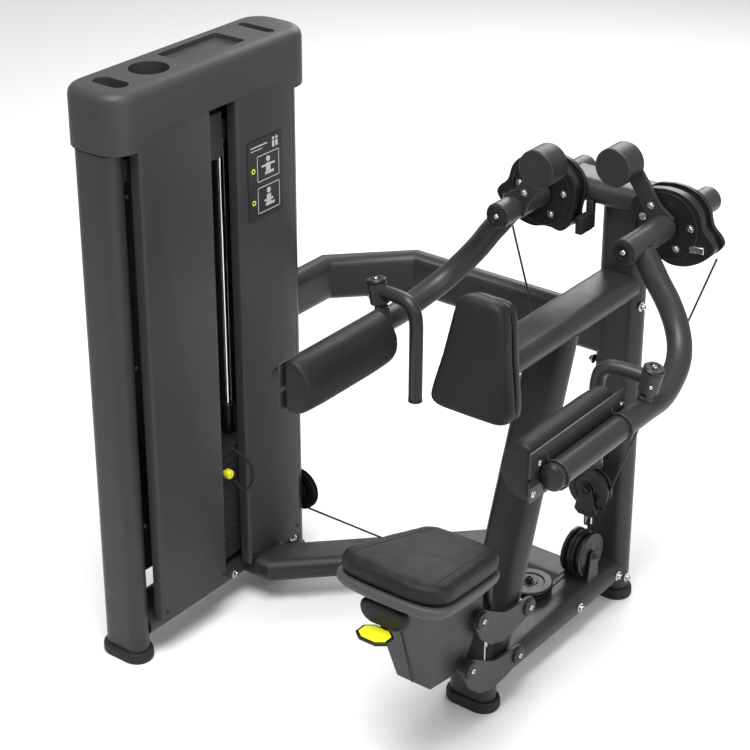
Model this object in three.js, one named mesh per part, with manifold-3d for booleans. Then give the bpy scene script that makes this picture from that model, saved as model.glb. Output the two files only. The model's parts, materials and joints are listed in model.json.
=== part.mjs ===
// Selectorised lateral raise machine: weight tower, seat frame, two swinging arms, cable run.
// Units mm. +X is the user's right, +Y the way the user faces, +Z up.
// Local coordinates are measured from the middle of the seat frame at the front foot;
// the outer group shifts everything so that the origin is under the middle of the bounding box.
import * as THREE from 'three';
import { mergeVertices } from 'three/addons/utils/BufferGeometryUtils.js';
import Module from 'manifold-3d';

const wasm = await Module();
wasm.setup();

// ---------------------------------------------------------------- driving dimensions
const OX = 241.8, OY = -177.5;                   // shift that centres the bounding box
const GAP = 0.3;                        // clearance between touching pieces
const FO_W = 120, FO_T = 60;            // flat-oval frame tube
const BASE_Z = 83;                      // axis height of the floor beams
const FOOT_W = 140, FOOT_D = 80, FOOT_H = 28;

const TX = -788, TY_F = -312, TY_R = 282, TOWER_TOP = 1325;   // tower uprights
const PANEL_X = -698, PANEL_T = 2.5, PANEL_F = -276, PANEL_R = 252, SLOT_F = -38, SLOT_R = 47;
const PANEL_Z0 = 104, PANEL_Z1 = 1357;
const CAP_Z0 = 1328, CAP_Z1 = 1468, CAP_X0 = -878, CAP_X1 = -698, CAP_Y0 = -345, CAP_Y1 = 328;
const BEAM_TOP_Z0 = 1250, BEAM_TOP_Z1 = 1300;

const SX = -788, SY = 0, ROD_R = 10, ROD_DY = 83;             // weight stack axis and guide rods
const PLATE_W = 106, PLATE_L = 250, PITCH = 24, STACK_Z0 = 125, REST_TOP = 374, LIFT_TOP = 450, SLEEVE_TOP = 532;
const PIN_Z = 386;

const POST_Y = 643, HEAD_Z = 1107, BEAM_Z = 882, LEG_Y = 40, MID_Z = 731;
const IP_Y = 136, IP_Z = 275, IP_SLOPE = 0.346;               // inclined post axis: y = IP_Y + slope (z - IP_Z)

const PIVOT_X = 169, PIVOT_Z = 1106.5, HUB_R = 30.5, HUB_Y0 = 340, HUB_Y1 = 520;
const HOUSE_R = 32, HOUSE_Y0 = 583, HOUSE_Y1 = 730;
const ARM_R = 28.5, PADTUBE_X = 352, PADTUBE_Z = 857, PADTUBE_Y0 = -228;
const CAM_Y0 = 526, CAM_Y1 = 580, CABLE_Y = 558;
const CW_R = 46, CW_RAD = 174, CW_ANG = 36.3 * Math.PI / 180, CW_LEN = 65, CW_Y_LEFT = 335, CW_Y_RIGHT = 448;

const PUL_R = 58, PUL_G = 47;                                 // guide pulleys: rim and groove radius
const FP = { x: -12, y: CABLE_Y, z: 341 };                    // floating pulley
const LP = { x: -12, y: 508, z: 181 };                        // lower double pulley, groove plane
const HP = { x: -62, y: 370, z: 131 };                        // horizontal pulley
const EP = { x: -757, y: 320, z: 181 };                       // tower exit pulley
const TP_Z = 1386, TP_R = 46, TP_G = 40;                      // top pulleys
const CABLE_R = 2.7;

// ---------------------------------------------------------------- materials
const mat = (c, r, m = 0) => new THREE.MeshStandardMaterial({ color: c, roughness: r, metalness: m });
const M = {
  frame: () => mat(0x3a3b3d, 0.55, 0.3), shroud: () => mat(0x3e3f41, 0.6, 0.1), black: () => mat(0x121212, 0.6),
  rubber: () => mat(0x0e0e0e, 0.85), chrome: () => mat(0xc8cacd, 0.12, 1), steel: () => mat(0x9a9c9f, 0.3, 1),
  leather: () => mat(0x262627, 0.7), yellow: () => mat(0xe4e42a, 0.45), grey: () => mat(0x4a4b4d, 0.55),
  cable: () => mat(0x151515, 0.5), iron: () => mat(0x1c1c1e, 0.6, 0.4),
};

// ---------------------------------------------------------------- helpers
const group = new THREE.Group();
group.position.set(OX, OY, 0);
const V = (x, y, z) => new THREE.Vector3(x, y, z);

function signedVolume(g) {
  const p = g.getAttribute('position'), ix = g.index;
  const n = ix ? ix.count : p.count;
  const a = V(), b = V(), c = V();
  let s = 0;
  for (let i = 0; i < n; i += 3) {
    const q = [0, 1, 2].map((k) => (ix ? ix.getX(i + k) : i + k));
    a.fromBufferAttribute(p, q[0]); b.fromBufferAttribute(p, q[1]); c.fromBufferAttribute(p, q[2]);
    s += a.dot(b.cross(c));
  }
  return s / 6;
}
function bare(geom) {
  let g = geom.clone();
  g.deleteAttribute('normal'); g.deleteAttribute('uv');
  g = mergeVertices(g, 1e-3);
  const ix = Array.from(g.index.array), keep = [];
  for (let i = 0; i < ix.length; i += 3) {
    if (ix[i] !== ix[i + 1] && ix[i + 1] !== ix[i + 2] && ix[i] !== ix[i + 2]) keep.push(ix[i], ix[i + 1], ix[i + 2]);
  }
  g.setIndex(keep);
  if (signedVolume(g) < 0) {
    for (let i = 0; i < keep.length; i += 3) [keep[i], keep[i + 1]] = [keep[i + 1], keep[i]];
    g.setIndex(keep);
  }
  return g;
}
function solid(geom) {
  const g = bare(geom);
  return new wasm.Manifold(new wasm.Mesh({
    numProp: 3, vertProperties: new Float32Array(g.getAttribute('position').array), triVerts: new Uint32Array(g.index.array),
  }));
}
function geo(man) {
  const m = man.getMesh();
  const g = new THREE.BufferGeometry();
  const np = m.numProp, nv = m.vertProperties.length / np, pos = new Float32Array(nv * 3);
  for (let i = 0; i < nv; i++) for (let k = 0; k < 3; k++) pos[i * 3 + k] = m.vertProperties[i * np + k];
  g.setAttribute('position', new THREE.BufferAttribute(pos, 3));
  g.setIndex(Array.from(m.triVerts));
  return g;
}
const union = (...s) => s.reduce((a, b) => a.add(b));
const minus = (a, ...s) => s.reduce((x, y) => x.subtract(y), a);
const largest = (s) => s.decompose().sort((a, b) => b.volume() - a.volume())[0];

function put(name, geomOrSolid, material) {
  let g = geomOrSolid.getMesh ? geo(geomOrSolid) : bare(geomOrSolid);
  g = g.index ? g : mergeVertices(g);
  g.computeVertexNormals();
  const m = new THREE.Mesh(g, material);
  m.name = name;
  group.add(m);
  return m;
}
// flat-oval section, w along the shape's x, t along its y
function oval(w, t, n = 5) {
  const r = Math.min(w, t) / 2, s = new THREE.Shape(), pts = [];
  const horizontal = w >= t, e = (horizontal ? w : t) / 2 - r;
  for (const sgn of [1, -1]) {
    for (let i = 0; i <= n; i++) {
      const a = -Math.PI / 2 + Math.PI * i / n + (sgn < 0 ? Math.PI : 0);
      const x = Math.cos(a) * r + sgn * e, y = Math.sin(a) * r;
      pts.push(horizontal ? [x, y] : [-y, x]);
    }
  }
  pts.forEach((p, i) => (i ? s.lineTo(p[0], p[1]) : s.moveTo(p[0], p[1])));
  s.closePath();
  return s;
}
function polygon(pts) {
  const s = new THREE.Shape();
  pts.forEach((p, i) => (i ? s.lineTo(p[0], p[1]) : s.moveTo(p[0], p[1])));
  s.closePath();
  return s;
}
function roundedRect(w, h, r, n = 4) {
  const pts = [];
  for (const [sx, sy, a0] of [[1, -1, -90], [1, 1, 0], [-1, 1, 90], [-1, -1, 180]]) {
    for (let i = 0; i <= n; i++) {
      const a = (a0 + 90 * i / n) * Math.PI / 180;
      pts.push([sx * (w / 2 - r) + r * Math.cos(a), sy * (h / 2 - r) + r * Math.sin(a)]);
    }
  }
  return polygon(pts);
}
// straight extrusion: shape x -> ax, shape y -> ay, depth along ax x ay from point o
function extr(shape, depth, o, ax, ay, opt = {}) {
  const g = new THREE.ExtrudeGeometry(shape, { depth, bevelEnabled: false, steps: 1, curveSegments: 8, ...opt });
  const az = new THREE.Vector3().crossVectors(ax, ay);
  g.applyMatrix4(new THREE.Matrix4().makeBasis(ax, ay, az).setPosition(o));
  return g;
}
const X = V(1, 0, 0), Y = V(0, 1, 0), Z = V(0, 0, 1), NX = V(-1, 0, 0), NY = V(0, -1, 0), NZ = V(0, 0, -1);
const upright = (w, t, x, y, z0, z1) => extr(oval(w, t), z1 - z0, V(x, y, z0), X, Y);
const alongY = (shape, x, z, y0, y1) => extr(shape, y1 - y0, V(x, y1, z), X, Z).applyMatrix4(new THREE.Matrix4());
const alongX = (shape, y, z, x0, x1) => extr(shape, x1 - x0, V(x0, y, z), Y, Z);
const box = (x0, x1, y0, y1, z0, z1) => new THREE.BoxGeometry(x1 - x0, y1 - y0, z1 - z0).translate((x0 + x1) / 2, (y0 + y1) / 2, (z0 + z1) / 2);
const cylY = (r, x, z, y0, y1, n = 24) => new THREE.CylinderGeometry(r, r, y1 - y0, n).translate(x, (y0 + y1) / 2, z);
const cylX = (r, y, z, x0, x1, n = 24) => new THREE.CylinderGeometry(r, r, x1 - x0, n).rotateZ(Math.PI / 2).translate((x0 + x1) / 2, y, z);
const cylZ = (r, x, y, z0, z1, n = 24) => new THREE.CylinderGeometry(r, r, z1 - z0, n).rotateX(Math.PI / 2).translate(x, y, (z0 + z1) / 2);
const circle = (r, n) => polygon([...Array(n)].map((_, i) => [r * Math.cos(2 * Math.PI * i / n), r * Math.sin(2 * Math.PI * i / n)]));
function tube(curve, r, n, steps) {
  return new THREE.ExtrudeGeometry(circle(r, n), { steps, extrudePath: curve, bevelEnabled: false });
}
const spline = (pts, tension = 0.5) => new THREE.CatmullRomCurve3(pts.map((p) => V(...p)), false, 'centripetal', tension);
// flat-oval tube along a level polyline with mitred corners; tall = long side upright
function mitred(pts, z, tall) {
  const W = tall ? FO_T : FO_W, H = tall ? FO_W : FO_T, n = pts.length;
  const g = new THREE.ExtrudeGeometry(oval(W, H), { steps: n - 1, depth: n - 1, bevelEnabled: false });
  const P = pts.map((p) => V(p[0], p[1], z)), pos = g.getAttribute('position');
  const dir = (i) => P[i + 1].clone().sub(P[i]).normalize();
  const side = P.map((_, i) => {
    const d0 = dir(Math.max(0, i - 1)), d1 = dir(Math.min(n - 2, i)), m = d0.clone().add(d1).normalize();
    return new THREE.Vector3().crossVectors(Z, m).divideScalar(m.dot(d0));
  });
  for (let i = 0; i < pos.count; i++) {
    const k = Math.round(pos.getZ(i)), v = P[k].clone().addScaledVector(side[k], pos.getX(i)).addScaledVector(Z, pos.getY(i));
    pos.setXYZ(i, v.x, v.y, v.z);
  }
  return solid(g);
}
// grooved pulley as a closed lathe profile about its own Y axis: outer radius r, groove radius g, width w, bore b
function sheave(r, g, w, b, n = 18) {
  const h = w / 2;
  const prof = [[b, -h], [r - 3, -h], [r, -h + 3], [r, -5.5], [g, -2.5], [g, 2.5], [r, 5.5], [r, h - 3], [r - 3, h], [b, h], [b, -h]];
  return new THREE.LatheGeometry(prof.map((p) => new THREE.Vector2(p[0], p[1])), n);
}

// ---------------------------------------------------------------- feet
const foot = (x, y) => extr(oval(FOOT_W - 6, FOOT_D - 6), FOOT_H - 6, V(x, y, 3), X, Y, { bevelEnabled: true, bevelThickness: 3, bevelSize: 3, bevelSegments: 1 });
put('tower_foot_front', foot(TX, TY_F), M.rubber());
put('tower_foot_rear', foot(TX, TY_R), M.rubber());
put('seat_foot_front', foot(0, LEG_Y), M.rubber());
put('seat_foot_rear', foot(0, POST_Y), M.rubber());

// ---------------------------------------------------------------- tower frame
const FZ = FOOT_H + GAP, BT = BASE_Z + 30;
put('tower_upright_front', upright(FO_W, FO_T, TX, TY_F, FZ, TOWER_TOP), M.frame());
put('tower_upright_rear', minus(union(solid(upright(FO_W, FO_T, TX, TY_R, FZ, TOWER_TOP)), solid(cylY(5.5, EP.x, EP.z, TY_R + 20, EP.y + 14, 10)))), M.frame());
put('tower_base_beam', extr(oval(FO_W, FO_T), TY_R - TY_F - FO_T - 2 * GAP, V(TX, TY_R - 30 - GAP, BASE_Z), X, Z), M.frame());

// folded sheet covers: flanges at both upright edges, rounded fold
const arch = (grow) => solid(extr(roundedRect(476 + 2 * grow, 500, 28, 4), 90, V(PANEL_X - 46, -38, PANEL_Z1 + grow - 250), Y, Z));
function panel(y0, y1, in0, in1) {
  const x1 = PANEL_X, r = 12, n = 3, out = [], inn = [];
  const arc = (cy, s, rr, arr) => { const a = []; for (let i = 0; i <= n; i++) { const t = Math.PI / 2 * i / n; a.push([x1 - r + rr * Math.sin(t), cy - s * rr * Math.cos(t)]); } arr.push(...(s > 0 ? a : a.reverse())); };
  out.push([x1 - in0, y0]); arc(y0 + r, 1, r, out); arc(y1 - r, -1, r, out); out.push([x1 - in1, y1]);
  inn.push([x1 - in0, y0 + PANEL_T]); arc(y0 + r, 1, r - PANEL_T, inn); arc(y1 - r, -1, r - PANEL_T, inn); inn.push([x1 - in1, y1 - PANEL_T]);
  const s = solid(extr(polygon([...out, ...inn.reverse()]), PANEL_Z1 - PANEL_Z0, V(0, 0, PANEL_Z0), X, Y));
  return s.intersect(solid(box(-900, -600, -400, 400, 0, CAP_Z0 - GAP)).add(arch(0)));
}
put('shroud_panel_front', panel(PANEL_F, SLOT_F, 30, 30), M.shroud());
put('shroud_panel_rear', panel(SLOT_R, PANEL_R - GAP, 30, 30).subtract(solid(box(-740, -600, 56, 182, 50, BT + 1))), M.shroud());
{
  const x0 = CAP_X0, x1 = x0 + PANEL_T, f = 30, y0 = PANEL_F, y1 = PANEL_R - GAP;
  const s = polygon([[x0, y0], [x0, y1], [x0 + f, y1], [x0 + f, y1 - PANEL_T], [x1, y1 - PANEL_T], [x1, y0 + PANEL_T], [x0 + f, y0 + PANEL_T], [x0 + f, y0]]);
  put('shroud_panel_back', extr(s, CAP_Z0 - GAP - PANEL_Z0 - 16, V(0, 0, PANEL_Z0 + 16), X, Y), M.shroud());
}

// moulded cap with cup well, tray and accessory slots
{
  const R = 65, n = 5, b = 24;
  const outline = (ins) => {
    const x0 = CAP_X0 + ins, x1 = CAP_X1 - ins, y0 = CAP_Y0 + ins, y1 = CAP_Y1 - ins, r = R - ins, pts = [];
    const corner = (cx, cy, a0) => { for (let i = 0; i <= n; i++) { const a = (a0 + 90 * i / n) * Math.PI / 180; pts.push([cx + r * Math.cos(a), cy + r * Math.sin(a)]); } };
    corner(x1 - r, y0 + r, -90); corner(x1 - r, y1 - r, 0); corner(x0 + r, y1 - r, 90); corner(x0 + r, y0 + r, 180);
    return polygon(pts);
  };
  let s = solid(extr(outline(b), CAP_Z1 - b - CAP_Z0, V(0, 0, CAP_Z0), X, Y, { bevelEnabled: true, bevelThickness: b, bevelSize: b, bevelSegments: 4 }));
  s = s.subtract(solid(box(-1000, -500, -500, 500, CAP_Z0 - 200, CAP_Z0)));
  s = s.subtract(arch(GAP));
  s = s.subtract(solid(cylZ(47, -787, -142, CAP_Z1 - 78, CAP_Z1 + 10, 24)));
  s = s.subtract(solid(extr(roundedRect(92, 45, 20, 3), 60, V(-786, -264, CAP_Z1 - 42), X, Y)));
  s = s.subtract(solid(extr(roundedRect(94, 202, 8, 2), 60, V(-791, 38, CAP_Z1 - 12), X, Y)));
  s = s.subtract(solid(extr(roundedRect(18, 94, 7, 2), 80, V(-753, -17, CAP_Z1 - 29), X, Y)));
  s = s.subtract(solid(extr(roundedRect(105, 24, 10, 2), 60, V(-787, 226, CAP_Z1 - 22), X, Y)));
  // bay for the top pulleys
  s = s.subtract(solid(box(-836, -722, -86, 258, CAP_Z0 - 20, 1436))).subtract(solid(box(-828, -752, 250, 324, CAP_Z0 - 20, 1436)));
  put('tower_cap', s, M.shroud());
}

// ---------------------------------------------------------------- weight stack
const rodY = [SY - ROD_DY, SY + ROD_DY];
put('guide_rod_front', cylZ(ROD_R, SX, rodY[0], BT + GAP, BEAM_TOP_Z0 - GAP, 14), M.chrome());
put('guide_rod_rear', cylZ(ROD_R, SX, rodY[1], BT + GAP, BEAM_TOP_Z0 - GAP, 14), M.chrome());
function slab(z0, z1, w = PLATE_W, l = PLATE_L) {
  let s = solid(extr(roundedRect(w, l, 6, 1), z1 - z0, V(SX, SY, z0), X, Y));
  for (const y of rodY) s = s.subtract(solid(cylZ(ROD_R + 1.5, SX, y, z0 - 5, z1 + 5, 12)));
  return s;
}
const seams = (s, z0, z1) => { for (let z = z0; z < z1 - 2; z += PITCH) s = s.subtract(solid(box(SX + PLATE_W / 2 - 1.5, SX + PLATE_W / 2 + 5, SY - 200, SY + 200, z - 0.8, z + 0.8))); return s; };
{
  let s = union(slab(STACK_Z0, REST_TOP), slab(BT + GAP, STACK_Z0 + 1, 70, 230)).subtract(solid(cylZ(12, SX, SY, 100, REST_TOP + 5, 12)));
  put('weight_stack_rest', seams(s, 158, REST_TOP), M.iron());
}
{
  // selected plates, top plate, guide sleeves, selector stem and cable end: one piece that travels
  let s = union(slab(REST_TOP + GAP, LIFT_TOP), solid(cylZ(9.5, SX, SY, STACK_Z0 + 6, REST_TOP + 5, 12)), solid(cylZ(16, SX, SY, LIFT_TOP - 1, LIFT_TOP + 14, 6)), solid(cylZ(9, SX, SY, LIFT_TOP + 10, LIFT_TOP + 52, 12)));
  for (const y of rodY) s = s.add(solid(cylZ(17, SX, y, LIFT_TOP - 1, SLEEVE_TOP, 14)).subtract(solid(cylZ(ROD_R + 1.5, SX, y, LIFT_TOP - 5, SLEEVE_TOP + 5, 12))));
  s = s.subtract(solid(cylX(5.5, SY, PIN_Z, SX - 30, SX + 80, 10)));
  put('weight_carriage', seams(s, 398, LIFT_TOP), M.iron());
}
put('selector_pin', union(solid(cylX(4.5, SY, PIN_Z, SX - 26, SX + 60, 10)), solid(cylX(12, SY, PIN_Z, SX + PLATE_W / 2 + 3, SX + 78, 18))), M.yellow());
put('pin_lanyard', tube(spline([[-731, -24, 456], [-715, -10, 468], [-690, 12, 446], [-674, 34, 408], [-668, 30, 372], [-670, 8, 352], [-680, -2, 360], [-697, 0, 377]]), 4.6, 8, 26), M.rubber());

// ---------------------------------------------------------------- floor and link tubes
const grownY = (y0, y1, x, z) => solid(extr(oval(FO_W + 2 * GAP, FO_T + 2 * GAP), y1 - y0, V(x, y1, z), X, Z));
put('base_link_tube', largest(mitred([[TX + 45, 119], [-677, 119], [-285, 511], [-46, 511]], BASE_Z, false).subtract(grownY(-300, 300, TX, BASE_Z)).subtract(grownY(60, 620, 0, BASE_Z))), M.frame());
put('mid_link_tube', largest(mitred([[TX, TY_R + 30 + GAP], [TX, 477], [-620, 645], [-46, 645]], MID_Z, true).subtract(solid(upright(FO_W + 2 * GAP, FO_T + 2 * GAP, 0, POST_Y, 500, 900))).subtract(solid(cylZ(6, EP.x - PUL_G - CABLE_R - GAP - 0.6, EP.y, 600, 850, 12)))), M.frame());
{
  // floor beam with the brackets of the horizontal and lower pulleys
  const yEnd = POST_Y - 30 - GAP;
  let s = solid(extr(oval(FO_W, FO_T), yEnd - 70, V(0, yEnd, BASE_Z), X, Z));
  s = union(s, solid(box(-82, -20, HP.y - 20, HP.y + 20, 104, 116)), solid(cylZ(7, HP.x, HP.y, 112, 152, 12)));
  const cheek = polygon([[LP.y - 26, BT - 6], [LP.y + 26, BT - 6], [LP.y + 14, LP.z + 8], [LP.y, LP.z + 14], [LP.y - 14, LP.z + 8]]);
  s = union(s, solid(extr(cheek, 5, V(-33, 0, 0), Y, Z)), solid(extr(cheek, 5, V(34, 0, 0), Y, Z)), solid(cylX(6, LP.y, LP.z, -38, 44, 12)));
  put('base_beam', s, M.frame());
}
// front leg, with the lug of the gas strut
put('front_leg', minus(union(solid(upright(FO_W, FO_T, 0, LEG_Y, FZ, BT - 3)), solid(box(39, 51, 14, 44, 100, 124))), solid(box(-80, 80, 69.7, 200, 0, 200))), M.frame());
put('rear_post', upright(FO_W, FO_T, 0, POST_Y, FZ, HEAD_Z - 30 - GAP), M.frame());

// chest pad lean
const PT = Math.atan(41 / 276), pUp = V(0, Math.sin(PT), Math.cos(PT)), pBack = V(0, Math.cos(PT), -Math.sin(PT)), pO = V(0, 2.5, 927);
const behind = (d) => { const b = new THREE.BoxGeometry(600, 600, 900).translate(0, -300, 0); b.applyMatrix4(new THREE.Matrix4().makeBasis(X, pBack, pUp).setPosition(pO.clone().addScaledVector(pBack, d))); return solid(b); };
put('upper_beam', solid(extr(oval(FO_W, FO_T), POST_Y - 30 - GAP - 40, V(0, POST_Y - 30 - GAP, BEAM_Z), X, Z)).subtract(behind(68 + 2 * GAP)), M.frame());
{
  let s = solid(extr(oval(FO_W, FO_T), 2 * 145, V(-145, POST_Y, HEAD_Z), Y, Z));
  for (const q of [1, -1]) {
    s = union(s, solid(cylY(HOUSE_R, q * PIVOT_X, PIVOT_Z, HOUSE_Y0, HOUSE_Y1, 22)));
    // stop bracket and block below the beam
    const x0 = q > 0 ? 62 : -81, x1 = q > 0 ? 81 : -62;
    s = union(s, solid(box(x0, x1, 586, 602, 1018, 1090)), solid(box(x0, x1, 540, 590, 1016, 1060)));
  }
  for (const q of [1, -1]) s = s.subtract(solid(cylY(15, q * PIVOT_X, PIVOT_Z, 560, 716, 16)));
  put('head_cross_beam', s, M.frame());
}
// inclined post with the rear bosses of the seat linkage
const IP_DIR = V(0, IP_SLOPE, 1).normalize();
const LINK_X = 72, LINK_T = 8, BOSS_R = 17, LR = [105, 129], UR = [145, 242], LF = [-91, 196], UF = [-51, 309];   // pivots (y, z)
{
  const o = V(0, IP_Y - IP_SLOPE * IP_Z, 0).addScaledVector(IP_DIR, 40);
  let s = solid(extr(oval(FO_W, FO_T), 1000, o, X, new THREE.Vector3().crossVectors(IP_DIR, X)));
  s = s.subtract(solid(box(-200, 200, -400, 800, -100, BT + GAP))).subtract(solid(box(-200, 200, -400, 800, BEAM_Z - 30 - GAP, 1400)));
  for (const p of [LR, UR]) s = s.add(solid(cylX(BOSS_R, p[0], p[1] + (p === LR ? 2 : 0), -LINK_X + GAP, LINK_X - GAP, 14)));
  s = s.subtract(grownY(60, 620, 0, BASE_Z));
  put('inclined_post', s, M.frame());
}

// ---------------------------------------------------------------- chest pad
{
  const half = [[0, 140], [38, 139], [56, 131], [64, 114], [105, -112], [103, -130], [88, -139], [40, -140], [0, -140]];
  const sh = (k) => polygon([...half, ...half.slice(1, -1).reverse().map((p) => [-p[0], p[1]])].map((p) => [p[0] * k, p[1] * k]).reverse());
  put('chest_pad', extr(sh(0.93), 30, pO.clone().addScaledVector(pBack, 38), X, pUp, { bevelEnabled: true, bevelThickness: 8, bevelSize: 8, bevelSegments: 2 }), M.leather());
  put('chest_pad_board', extr(sh(0.94), 22 - GAP, pO.clone().addScaledVector(pBack, 68), X, pUp), M.black());
}

// ---------------------------------------------------------------- seat, carriage and parallel links
const ST = Math.atan(63 / 295), sUp = V(0, Math.sin(ST), Math.cos(ST)), sBack = V(0, Math.cos(ST), -Math.sin(ST)), sO = V(0, -300, 541);
const under = (d) => sO.clone().addScaledVector(sUp, -d);
{
  const half = [[0, -24], [60, -22], [108, -14], [134, 2], [146, 31], [145, 70], [114, 272], [104, 298], [84, 314], [40, 322], [0, 323]];
  const pts = (k) => [...half, ...half.slice(1, -1).reverse().map((p) => [-p[0], p[1]])].map((p) => [p[0] * k, (p[1] - 150) * k + 150]);
  put('seat_cushion', extr(polygon(pts(0.94)), 30, under(38), X, sBack, { bevelEnabled: true, bevelThickness: 8, bevelSize: 8, bevelSegments: 2 }), M.leather());
  put('seat_tray', extr(polygon(pts(0.84)), 12, under(68), X, sBack, { bevelEnabled: true, bevelThickness: 8, bevelSize: 9, bevelSegments: 2 }), M.grey());
}
{
  const profile = [[-272, 440], [-245, 338], [-201, 191], [-120, 178], [-70, 184], [-22, 300], [-16, 430]];
  const front = [[-44, 170], [44, 170], [60, 320], [60, 520], [-60, 520], [-60, 320]];
  let s = solid(extr(polygon(profile), 120, V(-60, 0, 0), Y, Z)).intersect(solid(extr(polygon(front), 400, V(0, 60, 0), X, Z)));
  const b = new THREE.BoxGeometry(600, 1200, 400).translate(0, 0, 200);
  b.applyMatrix4(new THREE.Matrix4().makeBasis(X, sBack, sUp).setPosition(under(76 + GAP)));
  s = s.subtract(solid(b)).subtract(solid(box(-20, 20, -320, -236, 376, 420)));
  for (const p of [LF, UF]) s = s.add(solid(cylX(BOSS_R, p[0], p[1], -LINK_X + GAP, LINK_X - GAP, 14)));
  for (const p of [LF, UF]) s = s.subtract(solid(cylX(8.5, p[0], p[1], -100, 100, 12)));
  put('seat_carriage', s, M.grey());
}
put('seat_front_lobe', union(solid(extr(roundedRect(126, 48, 20, 3), 18, V(2, -304, 433), X, Z, { bevelEnabled: true, bevelThickness: 4, bevelSize: 4, bevelSegments: 1 })), solid(box(-30, 30, -306, -274, 424, 444))), M.leather());
function link(rear, front) {
  const r = 25, d = [front[0] - rear[0], front[1] - rear[1]], L = Math.hypot(...d), u = [-d[0] / L, -d[1] / L], w = [-u[1], u[0]];
  // a runs from the rear eye to the front eye, b upwards
  const P = (a, b) => [rear[0] - u[0] * a + w[0] * b, rear[1] - u[1] * a + w[1] * b];
  const pts = [];
  for (let i = 0; i <= 5; i++) { const t = (240 - 170 * i / 5) * Math.PI / 180; pts.push(P(r * Math.cos(t), r * Math.sin(t))); }
  pts.push(P(L * 0.3, 10), P(L * 0.5, 3), P(L * 0.7, 10));
  for (let i = 0; i <= 5; i++) { const t = (110 - 150 * i / 5) * Math.PI / 180; pts.push(P(L + r * Math.cos(t), r * Math.sin(t))); }
  pts.push(P(L * 0.9, -52), P(L * 0.68, -70), P(L * 0.42, -70), P(L * 0.18, -50));
  const shape = polygon(pts);
  let s = solid(cylX(8, front[0], front[1], -LINK_X - 4, LINK_X + 4, 12));
  for (const q of [1, -1]) {
    const x0 = q > 0 ? LINK_X : -LINK_X - LINK_T;
    s = union(s, solid(extr(shape, LINK_T, V(x0, 0, 0), Y, Z)));
    for (const p of [rear, front]) s = s.add(solid(cylX(20, p[0], p[1], q > 0 ? LINK_X + 1 : -LINK_X - 14, q > 0 ? LINK_X + 14 : -LINK_X - 1, 16)));
  }
  return s;
}
put('seat_link_lower', link(LR, LF), M.frame());
put('seat_link_upper', link(UR, UF), M.frame());
// gas strut between the floor beam's lug and the underside of the tray
const GS = { x: 45, y: 21, z0: 126, z1: 384 };
put('gas_strut_cylinder', solid(cylZ(12.5, GS.x, GS.y, 232, GS.z1, 14)).subtract(solid(cylZ(9.8, GS.x, GS.y, 200, GS.z1 - 6, 12))), M.black());
put('gas_strut_rod', solid(cylZ(4, GS.x, GS.y, GS.z0 + 2, 300, 10)).add(solid(cylX(7, GS.y, GS.z0 + 6, GS.x - 7, GS.x + 7, 10))), M.chrome());
{
  const oct = [[-22, -30], [22, -30], [42.5, -14], [42.5, 14], [22, 30], [-22, 30], [-42.5, 14], [-42.5, -14]];
  put('seat_lever', union(solid(extr(polygon(oct), 8, V(0, -345, 393), X, Y)), solid(box(-9, 9, -320, -240, 394, 400))), M.yellow());
}

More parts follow.
